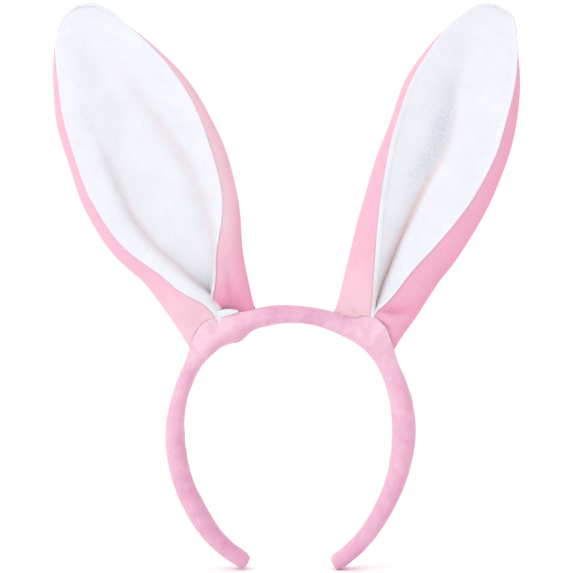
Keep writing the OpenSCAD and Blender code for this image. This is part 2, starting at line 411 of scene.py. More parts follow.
def path_tube(path, radius, sides=8):
    """Points and faces of a round thread along a path, with domed ends."""
    path = np.asarray(path, float)
    along = unit(np.gradient(path, axis=0))
    side = unit(np.cross(along, unit(np.array([0.13, 1.0, 0.21]))))
    up = np.cross(side, along)
    turn = np.linspace(0, 2 * math.pi, sides, endpoint=False)
    scale = np.ones(len(path))
    scale[0] = 0.55
    scale[-1] = 0.55
    r = radius * scale[:, None, None]
    ring = path[:, None, :] + r * np.cos(turn)[None, :, None] * side[:, None, :]
    ring = ring + r * np.sin(turn)[None, :, None] * up[:, None, :]
    points = ring.reshape(-1, 3)
    faces = []
    rows = len(path)
    for j in range(rows - 1):
        for k in range(sides):
            m = (k + 1) % sides
            faces.append((j * sides + k, (j + 1) * sides + k, (j + 1) * sides + m, j * sides + m))
    faces.append(tuple(range(sides)))
    faces.append(tuple(range(rows * sides - 1, (rows - 1) * sides - 1, -1)))
    return points, faces


def threads(name, paths, radius, sides=8):
    """One object made of several separate runs of thread."""
    points = []
    faces = []
    count = 0
    for path in paths:
        p, f = path_tube(path, radius, sides)
        points.append(p)
        faces += [tuple(i + count for i in face) for face in f]
        count += len(p)
    return make_object(name, np.vstack(points), faces)


# ---- The band ----


def arc_point(angle, out):
    """A point of the band at signed degrees from the top, out from the CAD centreline."""
    a = np.radians(np.asarray(angle, float))
    side = np.sign(angle)
    far = np.abs(angle) > FLEX_AT
    r = np.where(far, ARM_R, CROWN_R) + out
    f = math.radians(FLEX_AT)
    x0 = np.where(far, side * (CROWN_R - ARM_R) * math.sin(f), 0)
    z0 = np.where(far, (CROWN_R - ARM_R) * math.cos(f), 0)
    return x0 + r * np.sin(a), z0 + r * np.cos(a)


def band_angles(side, end):
    """Angles from the middle of the crown to one arm's end, at even steps along the centreline."""
    step = math.degrees(RING_STEP / CROWN_R)
    crown = np.concatenate([[0, 0.02], np.arange(step, FLEX_AT, step)])
    arm = np.arange(FLEX_AT, ARM_END, math.degrees(RING_STEP / ARM_R))
    angles = np.concatenate([crown, arm])
    return side * angles[angles < end]


def lap_height(angle):
    """How far the sleeve's front edge stands up over the ears' feet."""
    total = 0
    for middle, reach_l, reach_r, tall in LAPS:
        reach = np.where(angle < middle, reach_l, reach_r)
        total = total + tall * np.exp(-(((angle - middle) / reach) ** 2) * 0.9)
    return total


def foot_front(angle):
    """How far to the front the lap lies so that it rests on the ears' feet."""
    total = 1.0
    for middle, reach, tall in FEET:
        t = (angle - middle) / reach
        total = total + tall * np.sqrt(np.clip(1 - t**2, 0, 1))
    return total


def band_wrinkles(angle, turn):
    """Unevenness of the padded sleeve, outwards, in millimetres."""
    s = angle * ALONG
    around = turn * 6.0
    uneven = 0.22 * ripple(s, around, 3, 26) + 0.1 * ripple(s, around, 8, 9)
    inner = bell(np.abs(turn) - math.pi, 1.0)
    lump = 3.1 * bell(angle + 31, 7) * inner
    front = bell(turn + math.pi / 2, 0.9)
    crease = fold_sum(s, around, BAND_FOLDS)
    crease = crease + 0.5 * front * ripple(s, around, 5, 6) * bell(angle - 44, 14)
    return uneven + lump + crease


def padding_middle(angle):
    """How far the padding's middle lies out from the centreline."""
    k = np.clip((angle + ARM_END) / BAND_STEP, 0, 20)
    return (catmull(BAND_OUT, k) - catmull(BAND_IN, k)) / 2


def band_ring(angle, turn, inset):
    """Points of the sleeve's section, turn counted from straight out, towards the back."""
    k = (angle + ARM_END) / BAND_STEP
    out = catmull(BAND_OUT, np.clip(k, 0, 20)) - inset
    inn = catmull(BAND_IN, np.clip(k, 0, 20)) - inset
    half_t = (out + inn) / 2
    mid = (out - inn) / 2
    half_w = BAND_HALF_W - inset
    c = np.cos(turn)
    s = np.sin(turn)
    radial = mid + half_t * np.sign(c) * np.abs(c) ** (2 / SECTION_POWER)
    back = half_w * np.sign(s) * np.abs(s) ** (2 / SECTION_POWER)
    ridge = bell(turn - LAP_TURN, LAP_SPREAD)
    lap = np.maximum(lap_height(angle) - 0.9 * inset, 0)
    radial = radial + lap * ridge
    rest_at = foot_front(angle)
    hold = ridge * smooth(0.3, 3.5, lap) * smooth(1.4, 4.6, rest_at)
    back = back * (1 - hold) - np.maximum(rest_at - inset, 0.2) * hold
    bump = band_wrinkles(angle, turn)
    fade = 1 - inset / 8
    return radial + bump * c * fade, back + bump * s * fade


def band_surface(side, inset, end, count):
    """Rings of the band at one inset, from the middle of the crown to its rounded end."""
    angles = band_angles(side, end)
    left = np.radians(end - np.abs(angles)) * ARM_R
    turn = np.linspace(0, 2 * math.pi, count, endpoint=False)
    turn = np.where(turn > math.pi, turn - 2 * math.pi, turn)
    a, t = spread(angles, turn)
    radial, back = band_ring(a, t, inset)
    back_off = max(TIP_BACK - inset, 0.5)
    q = np.clip(1 - left / back_off, 0, 1)
    shrink = (np.maximum(1 - q**TIP_POWER, 0.0002) ** (1 / TIP_POWER))[:, None]
    mid = padding_middle(a)
    radial = mid + (radial - mid) * shrink
    back = back * (0.35 + 0.65 * shrink)
    back = np.where(q[:, None] > 0.9, back * (1 - smooth(0.9, 1.02, q[:, None]) * 0.9), back)
    x, z = arc_point(a, radial)
    return np.stack([x, back, z], axis=-1)


def sleeve_nap_and_painted_shade(obj):
    """Colour of the sleeve from 0, lighter, to 1, darker: random streaks of nap; painted shade on each arm's
    right side, away from the light, and along its gathers, with painted highlight beside them and on the laps;
    also darker towards the arms' ends and at the crown's top.
    """
    co = np.zeros(len(obj.data.vertices) * 3)
    obj.data.vertices.foreach_get("co", co)
    co = co.reshape(-1, 3) / MM
    angle = np.degrees(np.arctan2(co[:, 0], co[:, 2]))
    near = np.hypot(co[:, 0], co[:, 2]) - CROWN_R
    f = math.radians(FLEX_AT)
    x0 = np.sign(angle) * (CROWN_R - ARM_R) * math.sin(f)
    z0 = (CROWN_R - ARM_R) * math.cos(f)
    far = np.hypot(co[:, 0] - x0, co[:, 2] - z0) - ARM_R
    out = np.where(np.abs(angle) < FLEX_AT, near, far)
    mid = padding_middle(angle)
    lap = lap_height(angle) / 8
    to_right = (out - mid) * np.sign(angle)
    # Painted shade: each arm darker on its right side, away from the light, and lighter on its left
    deeper = smooth(8, 30, np.abs(angle)) * (0.3 * smooth(-4.5, 4.5, to_right) - 0.14)
    deeper = deeper + 0.22 * smooth(60, 150, np.abs(angle))
    deeper = deeper + 0.16 * smooth(26, 8, np.abs(angle))
    # Painted shade along the gathers and painted highlight beside them
    front = smooth(-1, -4, co[:, 1])
    deeper = deeper + front * fold_sum(angle * ALONG, out, SLEEVE_FOLD_PAINTED_SHADE)
    streaks = 0.12 * ripple(angle * 1.2 + co[:, 1], out * 0.6, 9, 14)
    streaks = streaks + 0.06 * ripple(angle * 1.2, co[:, 1] + out, 5, 5)
    # Painted highlight on the laps' outer half; the streaks are random nap
    return np.clip(0.43 + deeper + streaks - 0.42 * lap * smooth(-4, 3, out - mid), 0, 1)


def core_hollow(side, count):
    """Rings round the springy core, a little clear of it."""
    angles = band_angles(side, CORE_END + 0.4)
    turn = np.linspace(0, 2 * math.pi, count, endpoint=False)
    c = np.cos(turn)
    s = np.sin(turn)
    radial = CORE_HALF_T * np.sign(c) * np.abs(c) ** 0.35
    back = CORE_HALF_W * np.sign(s) * np.abs(s) ** 0.35
    x, z = arc_point(*spread(angles, radial))
    return np.stack([x, spread(angles, back)[1], z], axis=-1)


def facing(rings, side):
    """The rings with their points in the order that turns the faces outwards."""
    return rings if side < 0 else rings[:, ::-1]


def arm_blend(obj):
    """Bakes obj's placement into its mesh."""
    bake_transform(obj)


def seam_line(side):
    """Both sides of the line where the sleeve is sewn shut, along its rear inner edge."""
    angles = band_angles(side, ARM_END - 7)
    lines = []
    for turn in SEAM_TURNS:
        radial, back = band_ring(angles, np.full(len(angles), turn), 0.0)
        x, z = arc_point(angles, radial)
        lines.append(np.stack([x, back, z], axis=-1))
    return lines


def seam_stitches(side):
    """Small slanted overcast stitches along the sleeve's seam."""
    first, second = seam_line(side)
    paths = []
    for i in range(2, len(first) - 4, 4):
        a = first[i]
        b = second[i + 2]
        hill = np.array([0, 0.28, 0]) - 0.28 * (a / np.linalg.norm(a[[0, 2]])) * np.array([1, 0, 1])
        t = np.linspace(0, 1, 5)[:, None]
        paths.append(a * (1 - t) + b * t + hill * np.sin(math.pi * t))
    return paths


def tip_stitches(side):
    """Stitches that gather the sleeve shut at the arm's end."""
    t = np.linspace(-1, 1, 9)[:, None]
    x, z = arc_point(side * (ARM_END - 0.15), 0.0)
    a = math.radians(side * ARM_END)
    out = np.array([math.sin(a), 0, math.cos(a)])
    ahead = np.array([side * math.cos(a), 0, -side * math.sin(a)])
    centre = np.array([float(x), 0, float(z)]) + out * float(padding_middle(side * ARM_END))
    paths = []
    for y in (-3.0, -1.0, 1.0, 3.0):
        run = centre + np.array([0, y, 0]) + out * t * 1.1 + np.array([0, 0.5, 0]) * t
        paths.append(run + ahead * (0.1 - 0.35 * t**2))
    return paths


# ---- The ears ----


def ear_axes(ear):
    at = math.radians(ear["at"])
    tilt = math.radians(ear["tilt"])
    root = EAR_ROOT_R * np.array([math.sin(at), math.cos(at)])
    side = np.array([math.cos(tilt), -math.sin(tilt)])
    up = np.array([math.sin(tilt), math.cos(tilt)])
    return root, side, up


def place(ear, u, y, v):
    """Ear measures to the row frame."""
    root, side, up = ear_axes(ear)
    x = root[0] + u * side[0] + v * up[0]
    z = root[1] + u * side[1] + v * up[1]
    return np.stack([x, y, z], axis=-1)


def foot_height(ear, u):
    """How high the ear starts at u, so that its foot ends just under the band's sleeve."""
    root, side, up = ear_axes(ear)
    sx = root[0] + u * side[0]
    sz = root[1] + u * side[1]
    along = sx * up[0] + sz * up[1]
    r = EAR_ROOT_R - 2.7
    return np.sqrt(along**2 - sx**2 - sz**2 + r**2) - along


def section(ear, s):
    """Middle, half width, depth and how far the section goes round to each rim, in radians."""
    left = catmull(ear["edge_l"], s)
    right = catmull(ear["edge_r"], s)
    half_w = np.maximum((right - left) / 2, 0.05)
    mid = (right + left) / 2
    rise = rise_of(s)
    depth = catmull(EAR_DEPTH, s) * (0.42 + 0.58 * smooth(1, 26, rise))
    depth = np.minimum(depth, 0.5 * half_w + 0.2)
    slit = ear["slit"] * bell(rise - 12.5, 8.5)
    lift = ear["lift"] * bell(rise - 15, 9)
    wrap_l = math.pi - np.arcsin(np.clip((mid - catmull(ear["rim_l"], s) - lift) / half_w, 0.02, 1))
    wrap_r = math.pi - np.arcsin(np.clip((catmull(ear["rim_r"], s) - slit - mid) / half_w, 0.01, 1))
    return mid, half_w, depth, wrap_l, wrap_r


def rise_of(s):
    """How high a station lies above the ear's root."""
    return EAR_LEN * np.sin(np.radians(s * STATION_STEP))


def height(ear, s, u):
    """How high a point lies: by the foot the stations follow the band's curve."""
    rise = rise_of(s)
    return rise + foot_height(ear, u) * np.clip(1 - rise / 40, 0, 1)


def panel_folds(ear, u, v, turn):
    """Folds and gathers of the pink cloth, outwards."""
    gather = 0.45 * np.exp(-np.maximum(v, 0) / 11) * ripple(turn * 9, v * 0.25, 4, 8)
    front = smooth(1.45, 1.75, np.abs(turn))
    name = "right" if ear["tilt"] > 0 else "left"
    return gather + front * fold_sum(u, v, EAR_FOLDS[name])


def outer_point(ear, s, across, inset):
    """A point at an inset from the ear's outer side; across is -1 at the left rim and 1 at the right."""
    mid, half_w, depth, wrap_l, wrap_r = section(ear, s)
    turn = across * np.where(across < 0, wrap_l, wrap_r)
    width = half_w**2 / (half_w + inset)
    u = mid + width * np.sin(turn)
    y = (depth - inset) * np.cos(turn)
    rise = rise_of(s)
    lapped = ear["lap"] * bell(rise, 17)
    y = y + lapped * smooth(0.45, 0.95, across) - 0.3 * lapped * smooth(-0.45, -0.95, across)
    v = height(ear, s, u)
    bump = panel_folds(ear, u, v, turn) + 0.3 * ripple(turn * 14, v, 6, 40) * smooth(0, 30, rise)
    calm = smooth(0, 9, half_w)
    u = u + bump * np.sin(turn) * calm
    y = y + bump * np.cos(turn) * calm
    return u, y, v


def ear_grid(ear, s, across, inset):
    u, y, v = outer_point(ear, *spread(s, across), inset)
    return place(ear, u, y, v)


def back_wall(ear, s, u):
    """Depth of the ear's outer side behind a point of the lining."""
    mid, half_w, depth, _, _ = section(ear, s)
    return depth * np.sqrt(np.clip(1 - ((u - mid) / half_w) ** 2, 0, 1))


def rim_point(ear, s, side, inset, beyond):
    """A point beyond the panel's cut edge, along its surface."""
    _, half_w, depth, wrap_l, wrap_r = section(ear, s)
    turn = side * np.where(side < 0, wrap_l, wrap_r)
    u, y, _ = outer_point(ear, s, np.full_like(s, side), inset)
    du = side * half_w * np.cos(turn)
    dy = -side * depth * np.sin(turn)
    n = np.sqrt(du**2 + dy**2) + 1e-9
    return u + beyond * du / n, y + beyond * dy / n


# Valleys in the lining: heights, places across there, and
# reach to the left, reach to the right, depth, first and last full height, height where it ends
CREASES = {
    "left": [
        (
            [15, 40, 70, 89, 110, 128, 153, 170],
            [6, 12.5, 17, 17.4, 14, 10.6, 5.7, 4.7],
            (6.0, 3.6, 3.2, 30, 120, 186),
        ),
        (
            [16, 22, 36, 56, 75, 100, 122, 144],
            [0.5, -3, -11, -20, -25, -25, -25, -27],
            (2.6, 4.5, 1.8, 10, 95, 160),
        ),
    ],
    "right": [
        (
            [6, 23, 57, 91, 108, 120, 132, 150, 175],
            [1.4, 0.4, 2, 5, 9, 9.3, 8, 2.5, 1],
            (6.0, 1.8, 1.9, 75, 105, 165),
        ),
    ],
}


def creases(name, u, v):
    """Valleys in the lining, backwards."""
    deep = 0
    for heights, places, (reach_l, reach_r, depth, low, full, high) in CREASES[name]:
        centre = np.interp(v, heights, places)
        reach = np.where(u < centre, reach_l, reach_r)
        valley = depth * bell(u - centre, reach)
        deep = deep + valley * smooth(0, low, v) * smooth(high, full, v)
    return deep


def apex_u(name, v):
    """Where the lining is deepest."""
    if name == "left":
        return np.interp(v, [0, 20, 60, 110, 200], [0.5, 1, 0, -2, -4])
    return np.interp(v, [0, 23, 57, 91, 120, 150, 200], [0.5, 0, 1.5, 4, 7, 4, 2])


def lining_rims(ear, s):
    """Each rim's place, and how wide and deep the lining turns in from it: the left roll, the right hem."""
    left = (*rim_point(ear, s, -1.0, -0.1, 0.15), catmull(ear["roll_w"], s), catmull(ear["roll_dive"], s))
    hem_w = 1.0 * smooth(9.9, 7.5, s) + 0.2
    hem_dive = 1.3 * smooth(9.9, 7.0, s) + 0.1
    right = (*rim_point(ear, s, 1.0, -0.1, 0.15), hem_w, hem_dive)
    return [x[:, None] for x in left], [x[:, None] for x in right]


def bank(x, steepness, soft):
    """Rises from 0 to 1, steeply by the rim or softly."""
    return x**steepness * (1 - soft) + smooth(0, 1, x) * soft


def lining_middle(name, ear, s, x, start, end):
    """The lining from its roll to its hem, a floor with a bank on each side. x goes from 0 to 1."""
    ua, ya = start
    ub, yb = end
    depth = section(ear, s)[2]
    fill = catmull(ear["fill"], s)
    floor = (depth - STACK_T) * fill + 0.4 * (1 - fill)
    edge = np.maximum(ya, yb)
    floor = np.where(floor < edge, edge * 0.5 + floor * 0.5, floor)
    deepest = apex_u(name, height(ear, s, s * 0))
    apex = np.clip((deepest - ua) / np.maximum(ub - ua, 0.5), 0.12, 0.88)
    soft = smooth(3.5, 6.5, s)
    left = bank(np.clip((apex - x) / apex, 0, 1), catmull(ear["steep_l"], s), soft)
    right = bank(np.clip((x - apex) / (1 - apex), 0, 1), catmull(ear["steep_r"], s), soft)
    return ua + (ub - ua) * x, floor - (floor - ya) * left - (floor - yb) * right


def ease_across(values, rows):
    """Evens out a grid along its rows, but for its edges."""
    side = values[rows, 1:-3] + values[rows, 3:-1]
    values[rows, 2:-2] = 0.25 * side + 0.5 * values[rows, 2:-2]


def lining_grid(name, ear, s, q):
    """The lining's visible side. q goes from 0 at the left rim to 1 at the right."""
    s2, q2 = spread(s, q)
    (ul, yl, roll_w, dive), (ur, yr, hem_w, hem_dive) = lining_rims(ear, s)
    a = np.clip(q2 / ROLL_END, 0, 1) * math.pi / 2
    b = np.clip((1 - q2) / (1 - HEM_FROM), 0, 1) * math.pi / 2
    x = np.clip((q2 - ROLL_END) / (HEM_FROM - ROLL_END), 0, 1)
    u, y = lining_middle(name, ear, s2, x, (ul + roll_w, yl + dive), (ur - hem_w, yr + hem_dive))
    rolled = q2 < ROLL_END
    hemmed = q2 > HEM_FROM
    u = np.where(rolled, ul + roll_w * np.sin(a), np.where(hemmed, ur - hem_w * np.sin(b), u))
    y = np.where(rolled, yl + dive * (1 - np.cos(a)) ** 2.2, y)
    y = np.where(hemmed, yr + hem_dive * (1 - np.cos(b)), y)
    v = height(ear, s2, u)
    inside = smooth(0, 0.12, q2) * smooth(1, 0.94, q2)
    y = y + creases(name, u, v) * inside + 0.25 * ripple(u, v, 2, 34) * inside
    stack = STACK_T - INTERLINING_T * smooth(7.2, 8.4, s2) - 1.0 * smooth(8.6, 9.97, s2)
    wall = back_wall(ear, s2, u) - stack
    y = np.where(inside > 0.02, soft_min(y, wall, 1.0), y)
    high = s > 3.2
    for k in range(14):
        rows = high if k > 2 else slice(None)
        ease_across(y, rows)
        ease_across(u, rows)
    return u, y, height(ear, s2, u)


def soft_min(a, b, k):
    h = np.clip(0.5 + 0.5 * (b - a) / k, 0, 1)
    return b * (1 - h) + a * h - k * h * (1 - h)


def grid_normals(points):
    """Normals of a grid of points, towards the front where the grid runs left to right and upwards."""
    du = np.gradient(points, axis=1)
    dv = np.gradient(points, axis=0)
    n = unit(np.cross(dv, du))
    for _ in range(3):
        n[:, 1:-1] = (n[:, :-2] + 2 * n[:, 1:-1] + n[:, 2:]) / 4
        n[1:-1] = (n[:-2] + 2 * n[1:-1] + n[2:]) / 4
    return unit(n)


def ear_stations(rows):
    """Stations from the foot to the tip, a little closer at both ends."""
    t = np.linspace(0, 1, rows)
    return LAST_STATION * (t - 0.06 * np.sin(2 * math.pi * t))


def ear_blend(obj):
    """Bakes an ear's piece's placement into its mesh."""
    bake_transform(obj)


def cloth_uv(points):
    """Distances along a grid of points, across and up, in millimetres."""
    du = np.linalg.norm(np.diff(points, axis=1), axis=-1)
    dv = np.linalg.norm(np.diff(points, axis=0), axis=-1)
    u = np.concatenate([np.zeros((points.shape[0], 1)), np.cumsum(du, axis=1)], axis=1)
    u = u - u[:, u.shape[1] // 2][:, None]
    v = np.concatenate([np.zeros((1, points.shape[1])), np.cumsum(dv, axis=0)], axis=0)
    return np.stack([u, v], axis=-1)


def make_outer_panel(name, ear):
    s = ear_stations(150)
    across = np.linspace(-1, 1, 121)
    face = ear_grid(ear, s, across, 0.0)
    back = ear_grid(ear, s, across, PANEL_T)
    obj = cloth_solid(name + "_ear_outer_cloth", face, back, cloth_uv(face), flip=True)
    # The panel's painted shade, for its material
    flat = nap_and_painted_shade(name, ear, *spread(s, across)).ravel()
    set_value(obj, "nap_and_painted_shade", np.concatenate([flat, flat, flat[border(*face.shape[:2])]]))
    return obj


def nap_and_painted_shade(name, ear, s, across):
    """Painted shade on the pink panel, from 0, lighter, to 1, darker: darker on its right side, away from the
    light, on the left ear more so low down and by the foot, on the right ear along a fold; lighter by the rim,
    and on the left side by the foot.
    """
    mid, half_w, _, wrap_l, wrap_r = section(ear, s)
    wrap = np.where(across < 0, wrap_l, wrap_r)
    turn = np.abs(across) * wrap
    rise = rise_of(s)
    past = smooth(2.5, 1.5, turn)
    right = smooth(-0.2, 0.3, across)
    # Painted light: the left side lighter by the foot
    rest = 0.32 - 0.24 * smooth(45, 8, rise) * (1 - right)
    if name == "left":
        # Painted shade: the right side darker low down and by the foot, lighter by the rim higher up
        low = smooth(85, 25, rise)
        foot = smooth(0.5, 0.9, across) * smooth(28, 8, rise)
        light = (1 - past) * smooth(25, 60, rise)
        return rest + right * (0.34 * past * low + 0.38 * foot - 0.4 * light)
    u = mid + half_w * np.sin(across * wrap)
    # Painted shade along a fold of the right side
    fold = segment_fold(u, height(ear, s, u), (3, 14), (19, 18.5), 3.0)
    edge = smooth(0.95, 0.55, np.abs(across)) * right
    return rest + right * (0.1 + 0.22 * past + 0.12 * edge + 0.3 * fold)


def make_interlining(name, ear):
    s = ear_stations(110)
    s = s[s < INTERLINING_LAST]
    across = np.linspace(-INTERLINING_REACH, INTERLINING_REACH, 81)
    inset = PANEL_T + 2 * SLIP
    face = ear_grid(ear, s, across, inset)
    back = ear_grid(ear, s, across, inset + INTERLINING_T)
    return cloth_solid(name + "_ear_interlining_cloth", face, back, cloth_uv(face), flip=True)


def make_lining(name, ear):
    s = ear_stations(170)
    s = s[s > ear["lining_from"]]
    roll = np.linspace(0, ROLL_END, 26)[:-1]
    middle = np.linspace(ROLL_END, HEM_FROM, 76)[:-1]
    q = np.concatenate([roll, middle, np.linspace(HEM_FROM, 1, 8)])
    u, y, v = lining_grid(name, ear, s, q)
    face = place(ear, u, y, v)
    back = face - grid_normals(face) * LINING_T
    obj = cloth_solid(name + "_ear_lining_cloth", face, back, cloth_uv(face))
    ring = border(*face.shape[:2])
    for word, shade in zip(("cool_shade", "warm_shade"), lining_shade(name, u, v)):
        flat = shade.ravel()
        set_value(obj, word, np.concatenate([flat, flat, flat[ring]]))
    return obj


def lining_shade(name, u, v):
    """Painted shade in the lining's creases and low in the left ear's hollow, cool and warm, each from 0 to 1.
    """
    if name == "left":
        heights, places = CREASES["left"][0][:2]
        right = bell(u - np.interp(v, heights, places), 4.0) * smooth(175, 110, v)
        heights, places = CREASES["left"][1][:2]
        left = bell(u - 1 - np.interp(v, heights, places), 2.8) * smooth(135, 60, v)
        cool = 0.1 * bell(u - 1, 5) * smooth(38, 18, v)
        right = right * smooth(0, 35, v)
        return cool + 0.2 * right, 0.33 * right + 0.55 * left * smooth(0, 20, v)
    heights, places = CREASES["right"][0][:2]
    gap = u - np.interp(v, heights, places)
    width = np.interp(v, [6, 23, 57, 91, 125, 150, 170], [1.5, 3, 4.5, 6, 7.5, 5, 3])
    away = np.interp(v, [0, 57, 91, 110, 128, 145, 160], [1.5, 4.5, 9.0, 8.5, 9.0, 5.5, 3.5])
    cool = bell(gap + away, width) * smooth(0.5, -3.0, gap)
    cool = cool * smooth(176, 118, v) * (0.25 + 0.75 * smooth(70, 118, v)) * smooth(10, 30, v)
    reach = np.interp(v, [0, 40, 90, 130], [3.2, 3.6, 3.0, 2.0])
    warm = bell(gap + 1.3, reach)
    warm = warm * smooth(150, 60, v) * smooth(6, 18, v) * smooth(2.2, 0.4, gap)
    return cool, warm


def rim_wire_path(ear):
    """Up one rim inside the panel, over under the tip and down the other."""
    s = ear_stations(90)
    s = s[s < WIRE_LAST]
    inset = PANEL_T + SLIP + 0.55
    deeper = inset + 0.6 * smooth(2.6, 1.2, s)
    left = ear_line(ear, s, -WIRE_REACH, inset)
    right = ear_line(ear, s, WIRE_REACH, deeper)
    over = np.linspace(-WIRE_REACH, WIRE_REACH, 25)[1:-1]
    top = ear_grid(ear, s[-1:], over, inset)[0]
    return np.vstack([left, top, right[::-1]])


def ear_line(ear, s, across, inset):
    u, y, v = outer_point(ear, s, np.full_like(s, across), inset)
    return place(ear, u, y, v)


def rim_stitch_paths(ear):
    """Short stitches that hold the lining's edge to the panel's, all the way round."""
    s = np.linspace(0.12, 9.9, 1500)
    paths = []
    for side in (-1.0, 1.0):
        u, y = rim_point(ear, s, side, 0.5, -1.1)
        first = place(ear, u, y, height(ear, s, u))
        u, y = rim_point(ear, s, side, 0.45, -0.5)
        second = place(ear, u, y, height(ear, s, u))
        gap = np.linalg.norm(np.diff(first, axis=0), axis=-1)
        length = np.concatenate([[0], np.cumsum(gap)])
        for mark in np.arange(15.0, length[-1] - 5.0, 2.2):
            i = int(np.searchsorted(length, mark))
            j = min(int(np.searchsorted(length, mark + 0.9)), len(s) - 1)
            t = np.linspace(0, 1, 4)[:, None]
            hill = np.array([0, -0.1, 0]) * np.sin(math.pi * t)
            paths.append(first[i] * (1 - t) + second[j] * t + hill)
    return paths


def tack_paths(ear):
    """Stitches that hold the gathered foot to the band, round the panel."""
    paths = []
    for k in range(15):
        line = ear_line(ear, np.linspace(0.0, 0.12, 5), -0.9 + 1.8 * k / 14, -0.12)
        middle = line.mean(axis=0)
        paths.append(middle + (line - middle) * 0.6)
    return paths


def tail_leaf(ear):
    """The lining's loose end at the left ear's foot, a small leaf that lies over the band's edge."""
    a = np.linspace(0, 1, 22)
    line_u = -0.6 + 11.8 * a
    line_v = 4.9 + 0.5 * np.sin(math.pi * a) - 2.7 * a
    half = 2.2 * np.sqrt(np.clip(1 - np.abs(2 * a - 0.62) ** 2.6 / 1.38**2.6, 0.002, 1)) * (1 - 0.3 * a)
    w = np.linspace(-1, 1, 11)
    u = line_u[:, None] - 0.25 * half[:, None] * w[None]
    v = line_v[:, None] + half[:, None] * w[None]
    y = -8.2 + 0.35 * w[None] ** 2 + 0.9 * (a[:, None] - 0.4) ** 2 + 0.15 * np.sin(7 * a)[:, None]
    face = place(ear, u, y * np.ones_like(u), v)
    back = face + np.array([0, LINING_T * 0.8, 0])
    return cloth_solid("left_ear_lining_tail", face, back, cloth_uv(face))


# ---- Materials ----


def new_material(name):
    mat = bpy.data.materials.new(name)
    mat.use_nodes = True
    nodes = mat.node_tree.nodes
    nodes.clear()
    output = nodes.new("ShaderNodeOutputMaterial")
    shader = nodes.new("ShaderNodeBsdfPrincipled")
    mat.node_tree.links.new(shader.outputs["BSDF"], output.inputs["Surface"])
    return mat, shader


def add(mat, kind, **values):
    node = mat.node_tree.nodes.new(kind)
    for key, value in values.items():
        if key in node.inputs:
            node.inputs[key].default_value = value
        else:
            setattr(node, key, value)
    return node


def set_inputs(shader, **values):
    """Values on the shader's own sockets; an underscore in a word stands for a space."""
    for key, value in values.items():
        shader.inputs[key.replace("_", " ")].default_value = value


def link(mat, source, target):
    mat.node_tree.links.new(source, target)


def noise(mat, coordinates, scale, detail=4.0, rough=0.6, squeeze=(1, 1, 1)):
    mapping = add(mat, "ShaderNodeMapping", Scale=squeeze)
    link(mat, coordinates, mapping.inputs["Vector"])
    node = add(mat, "ShaderNodeTexNoise", Scale=scale, Detail=detail, Roughness=rough)
    link(mat, mapping.outputs["Vector"], node.inputs["Vector"])
    return node.outputs["Fac"]


def ramp(mat, source, stops):
    node = add(mat, "ShaderNodeValToRGB")
    elements = node.color_ramp.elements
    while len(elements) < len(stops):
        elements.new(0.5)
    for element, (where, colour) in zip(elements, stops):
        element.position = where
        element.color = (*colour, 1)
    link(mat, source, node.inputs["Fac"])
    return node.outputs["Color"]


def mix(mat, kind, share, a, b):
    node = add(mat, "ShaderNodeMix", data_type="RGBA", blend_type=kind)
    if isinstance(share, float):
        node.inputs["Factor"].default_value = share
    else:
        link(mat, share, node.inputs["Factor"])
    for socket, value in ((node.inputs[6], a), (node.inputs[7], b)):
        if isinstance(value, tuple):
            socket.default_value = (*value, 1)
        else:
            link(mat, value, socket)
    return node.outputs[2]


def bumps(mat, shader, layers):
    """Several heights on top of each other, each (source, strength, distance in metres)."""
    last = None
    for source, strength, distance in layers:
        node = add(mat, "ShaderNodeBump", Strength=strength, Distance=distance)
        link(mat, source, node.inputs["Height"])
        if last is not None:
            link(mat, last, node.inputs["Normal"])
        last = node.outputs["Normal"]
    link(mat, last, shader.inputs["Normal"])


def shade_of(colour, factor):
    return tuple(min(1.0, c * factor) for c in colour)


def attribute(mat, name):
    return add(mat, "ShaderNodeAttribute", attribute_name=name).outputs["Fac"]


def times(mat, a, b):
    node = add(mat, "ShaderNodeMath", operation="MULTIPLY")
    link(mat, a, node.inputs[0])
    link(mat, b, node.inputs[1])
    return node.outputs["Value"]


